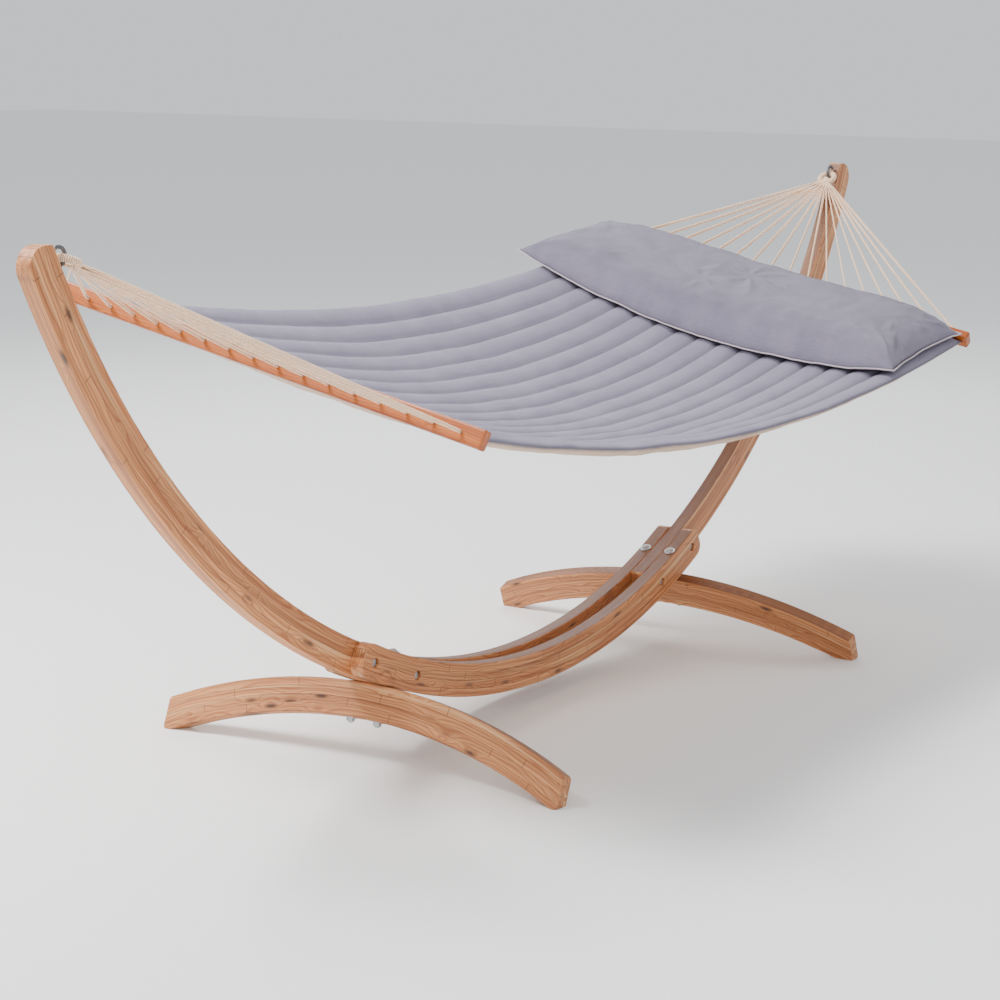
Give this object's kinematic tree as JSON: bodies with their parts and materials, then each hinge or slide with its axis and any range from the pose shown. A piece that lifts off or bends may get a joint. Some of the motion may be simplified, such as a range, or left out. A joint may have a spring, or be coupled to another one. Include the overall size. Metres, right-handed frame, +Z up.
{
  "type": "hammock with stand",
  "caption": "Quilted hammock with wooden spreader bars and a long pillow, hung by fanned cords from hooks in a curved laminated timber stand.",
  "frame": {"origin": "on the ground, under the middle of the stand", "axes": "+X along the hammock from its foot end to its pillow end, +Z up, +Y across, away from the side that hangs lower"},
  "size_m": [3.583, 1.2468, 1.268],
  "materials": {
    "larch": "oiled laminated larch",
    "stained_wood": "orange-brown varnish",
    "zinc_steel": "zinc plated",
    "dark_steel": "dark zinc",
    "cord": "twisted cream cord",
    "quilt": "matt quilted canvas",
    "pillow_cloth": "matt canvas"
  },
  "bodies": {
    "stand": {"near_rail": "larch", "far_rail": "larch", "foot_arm": "larch", "foot_cross_beam": "larch", "foot_joint_bolts": "zinc_steel", "foot_joint_washers": "zinc_steel", "foot_joint_nuts": "zinc_steel", "foot_base_bolts": "zinc_steel", "foot_base_top_washers": "zinc_steel", "foot_base_lower_washers": "zinc_steel", "foot_base_nuts": "zinc_steel", "foot_hook": "dark_steel", "head_arm": "larch", "head_cross_beam": "larch", "head_joint_bolts": "zinc_steel", "head_joint_washers": "zinc_steel", "head_joint_nuts": "zinc_steel", "head_base_bolts": "zinc_steel", "head_base_top_washers": "zinc_steel", "head_base_lower_washers": "zinc_steel", "head_base_nuts": "zinc_steel", "head_hook": "dark_steel"},
    "hammock": {"foot_rope_eye": "cord", "foot_cords": "cord", "foot_spreader_bar": "stained_wood", "head_rope_eye": "cord", "head_cords": "cord", "head_spreader_bar": "stained_wood", "bed": "quilt"},
    "pillow": {"pillow": "pillow_cloth"}
  },
  "joints": [
    {"name": "hammock_swing", "type": "hinge", "parent": "stand", "child": "hammock", "pos_m": [0, 0, 1.2402], "axis": [1, 0, 0], "range_deg": [-15, 15]},
    {"name": "pillow_lift", "type": "slide", "parent": "hammock", "child": "pillow", "axis": [-0.0041, -0.1942, 0.981], "range_m": [0, 0.25]}
  ]
}
